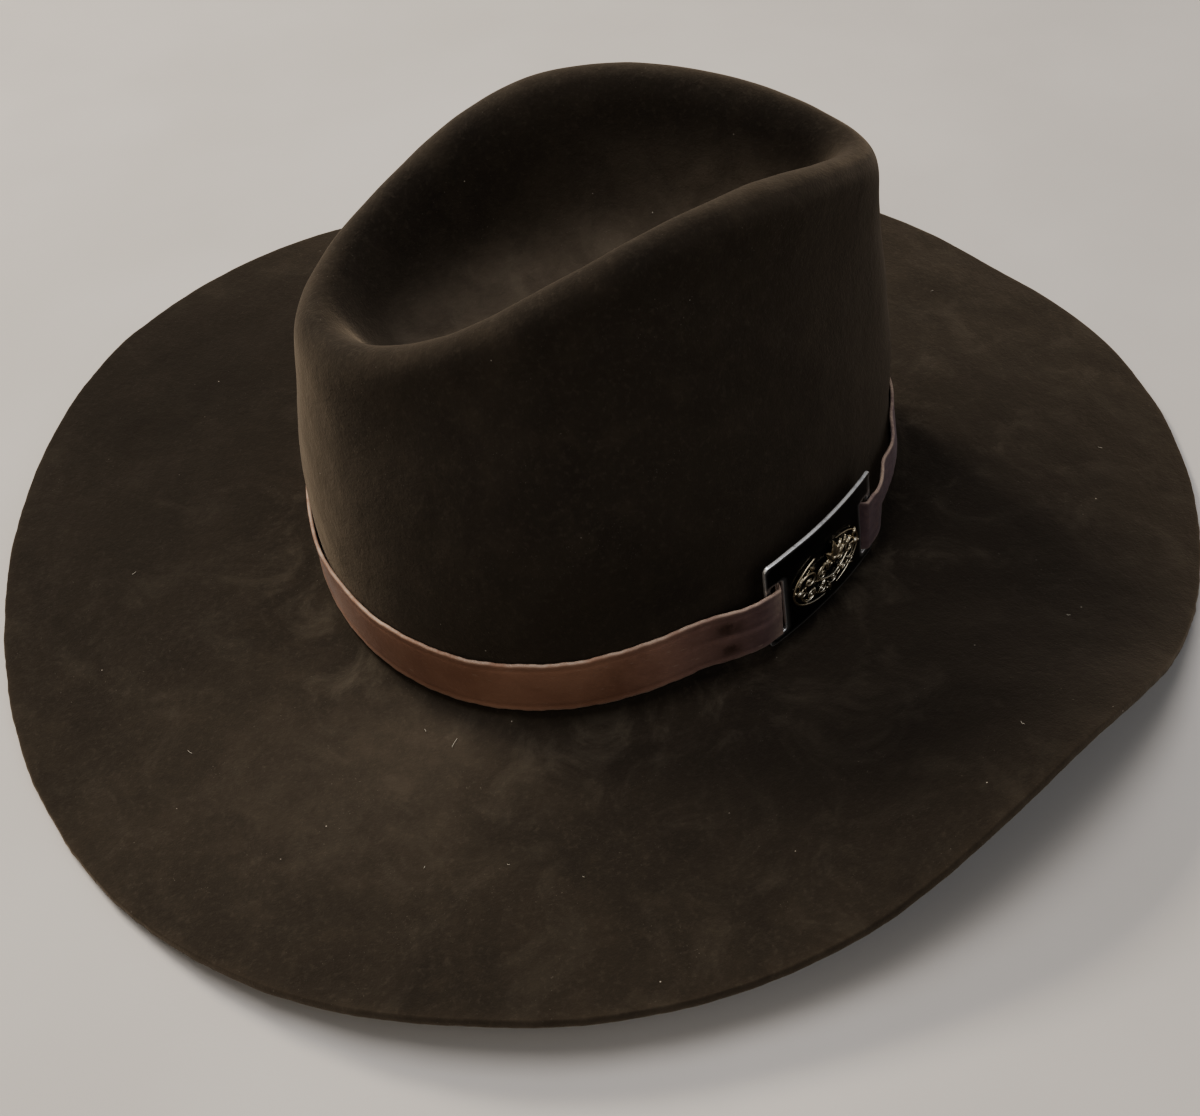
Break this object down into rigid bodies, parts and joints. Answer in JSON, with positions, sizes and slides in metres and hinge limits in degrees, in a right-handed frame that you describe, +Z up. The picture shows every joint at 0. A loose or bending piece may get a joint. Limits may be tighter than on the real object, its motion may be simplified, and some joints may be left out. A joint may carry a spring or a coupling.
{
  "type": "cowboy hat",
  "caption": "Felt western hat with a tall teardrop-dented crown, a wide gently waved brim, sweatband, lining and a leather strap with a slotted metal plaque.",
  "frame": {"origin": "middle of the hat's plan outline, on the floor the brim rests on", "axes": "+Z up from the floor, -Y to the front of the hat (the narrow end of the dent), +X to the wearer's left"},
  "size_m": [0.3848, 0.403, 0.1388],
  "materials": {
    "felt": "matte felt",
    "sweat_leather": "satin leather",
    "reed_plastic": "matte",
    "tape": "woven tape",
    "thread": "thread",
    "ribbon": "grosgrain",
    "lining_cloth": "satin weave",
    "piping": "cord",
    "label_cloth": "woven",
    "strap_leather": "smooth, worn",
    "thread_dark": "waxed thread",
    "dark_metal": "blackened, polished",
    "pale_metal": "pale gold, polished"
  },
  "bodies": {
    "hat": {"felt_body": "felt", "sweatband": "sweat_leather", "sweatband_reed": "reed_plastic", "reed_casing": "tape", "sweatband_stitches": "thread", "sweatband_back_seam": "sweat_leather", "sweatband_bow": "ribbon", "lining_side": "lining_cloth", "lining_tip": "lining_cloth", "lining_piping": "piping", "size_label": "label_cloth"},
    "hatband": {"hatband_strap": "strap_leather", "strap_end_stitches": "thread_dark"},
    "plaque": {"plaque_plate": "dark_metal", "ornament": "pale_metal", "ornament_rivets": "pale_metal"}
  },
  "joints": [
    {"name": "hatband_lift", "type": "slide", "parent": "hat", "child": "hatband", "axis": [-0.0317, 0.0397, 0.9987], "range_m": [0, 0.13]},
    {"name": "plaque_slide", "type": "hinge", "parent": "hatband", "child": "plaque", "pos_m": [0.067, 0.03697, 0.02738], "axis": [-0.0317, 0.0397, 0.9987], "range_deg": [-1.4, 1.4], "deforming": ["hatband_strap"]}
  ]
}
